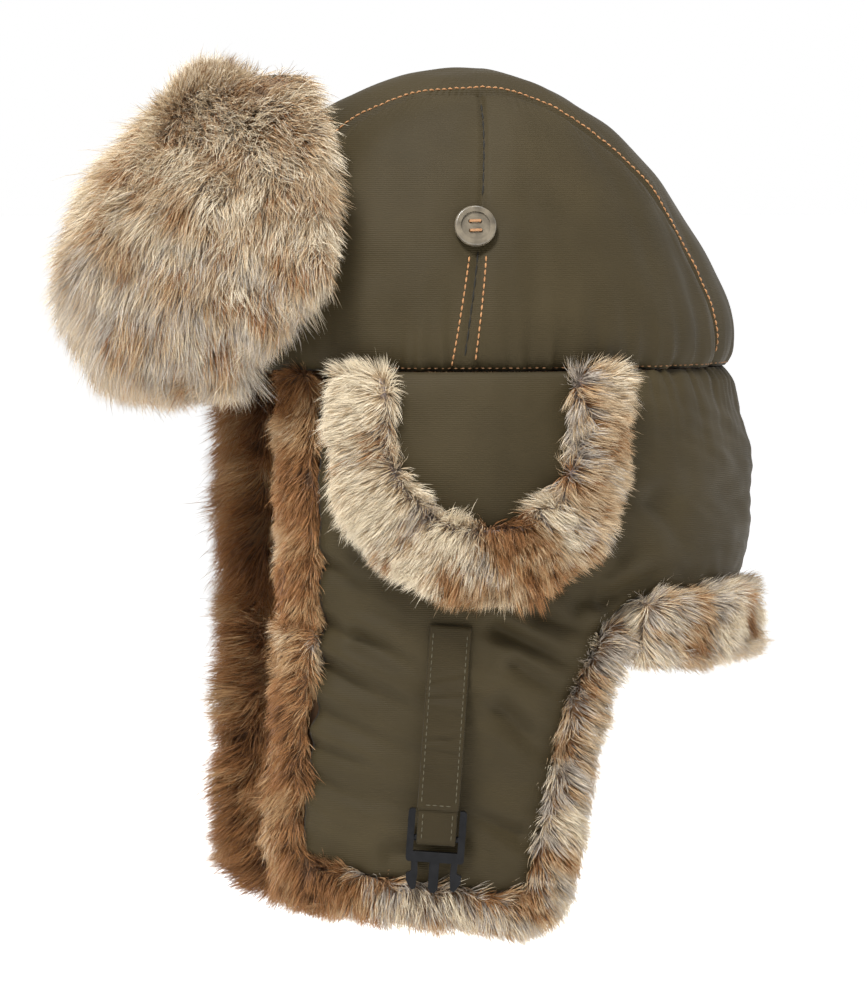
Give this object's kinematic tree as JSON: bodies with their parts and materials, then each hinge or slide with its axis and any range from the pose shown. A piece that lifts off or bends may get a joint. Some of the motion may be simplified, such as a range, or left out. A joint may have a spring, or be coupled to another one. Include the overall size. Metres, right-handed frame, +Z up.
{
  "type": "trapper hat",
  "caption": "Padded trapper hat with a standing fur front flap, fur-lined ear flaps, buttoned ear covers and a buckled chin strap.",
  "frame": {"origin": "centre of the head opening, level with the brow seam", "axes": "+Z up, -Y is where the wearer faces, +X is the wearer's left"},
  "size_m": [0.2212, 0.3124, 0.3842],
  "materials": {
    "shell_fabric": "olive ribbed nylon, soft sheen",
    "strap_fabric": "olive ribbed nylon webbing, stitched edges",
    "lining_fabric": "dark olive quilted lining",
    "wadding": "white polyester wadding",
    "fur_front_flap": "dense long fur, tan brown to pale grey",
    "fur_ear_cover": "dense fur, cream and brown",
    "fur_lining": "dense fur, tan brown",
    "button_horn": "grey tan horn, polished rim",
    "button_thread": "orange brown thread",
    "hook_tape": "black hook-and-loop tape",
    "buckle_plastic": "black moulded acetal"
  },
  "bodies": {
    "hat": {"crown_center_panel": "shell_fabric", "crown_side_front_panel_left": "shell_fabric", "crown_side_front_panel_right": "shell_fabric", "crown_side_rear_panel_left": "shell_fabric", "crown_side_rear_panel_right": "shell_fabric", "crown_wadding": "wadding", "crown_lining": "lining_fabric", "crown_buttons": "button_horn", "button_threads": "button_thread", "band_shell": "shell_fabric", "band_wadding": "wadding", "band_fur_lining": "fur_lining", "band_front_fur_roll_left": "fur_lining", "band_front_fur_roll_right": "fur_lining", "neck_fur_trim": "fur_lining"},
    "front_flap": {"front_flap_fur": "fur_front_flap", "front_flap_wadding": "wadding", "front_flap_backing": "shell_fabric"},
    "ear_flap_left": {"ear_flap_shell_left": "shell_fabric", "ear_flap_wadding_left": "wadding", "ear_flap_fur_lining_left": "fur_lining", "ear_flap_fur_trim_left": "fur_lining"},
    "ear_cover_left": {"ear_cover_panel_left": "shell_fabric", "ear_cover_fur_trim_left": "fur_ear_cover"},
    "strap_left": {"strap_left": "strap_fabric", "strap_hook_tape_left": "hook_tape"},
    "ear_flap_right": {"ear_flap_shell_right": "shell_fabric", "ear_flap_wadding_right": "wadding", "ear_flap_fur_lining_right": "fur_lining", "ear_flap_fur_trim_right": "fur_lining"},
    "ear_cover_right": {"ear_cover_panel_right": "shell_fabric", "ear_cover_fur_trim_right": "fur_ear_cover"},
    "strap_right": {"strap_right": "strap_fabric", "strap_hook_tape_right": "hook_tape"},
    "buckle_left": {"buckle_male_left": "buckle_plastic"},
    "buckle_right": {"buckle_female_right": "buckle_plastic"}
  },
  "joints": [
    {"name": "front_flap_fold", "type": "hinge", "parent": "hat", "child": "front_flap", "pos_m": [0, -0.124, -0.006], "axis": [1, 0, 0], "range_deg": [0, 120]},
    {"name": "ear_flap_left_fold", "type": "hinge", "parent": "hat", "child": "ear_flap_left", "pos_m": [0.11, 0, -0.113], "axis": [0, -1, 0], "range_deg": [0, 150]},
    {"name": "ear_cover_left_lift", "type": "hinge", "parent": "hat", "child": "ear_cover_left", "pos_m": [0.1, 0, 0], "axis": [0, -1, 0], "range_deg": [0, 172]},
    {"name": "strap_left_swing", "type": "hinge", "parent": "ear_flap_left", "child": "strap_left", "pos_m": [0.09862, -0.03533, -0.11353], "axis": [0.2099, 0.9752, -0.0701], "range_deg": [-105, 0]},
    {"name": "buckle_left_swing", "type": "hinge", "parent": "strap_left", "child": "buckle_left", "pos_m": [0.09865, -0.04208, -0.20737], "axis": [-0.2099, -0.9752, 0.0701], "range_deg": [0, 25]},
    {"name": "ear_flap_right_fold", "type": "hinge", "parent": "hat", "child": "ear_flap_right", "pos_m": [-0.11, 0, -0.113], "axis": [0, 1, 0], "range_deg": [0, 150]},
    {"name": "ear_cover_right_lift", "type": "hinge", "parent": "hat", "child": "ear_cover_right", "pos_m": [-0.1, 0, 0], "axis": [0, 1, 0], "range_deg": [0, 172]},
    {"name": "strap_right_swing", "type": "hinge", "parent": "ear_flap_right", "child": "strap_right", "pos_m": [-0.09862, -0.03533, -0.11353], "axis": [0.2099, -0.9752, 0.0701], "range_deg": [-105, 0]},
    {"name": "buckle_right_swing", "type": "hinge", "parent": "strap_right", "child": "buckle_right", "pos_m": [-0.09865, -0.04208, -0.20737], "axis": [-0.2099, 0.9752, -0.0701], "range_deg": [0, 25]}
  ]
}
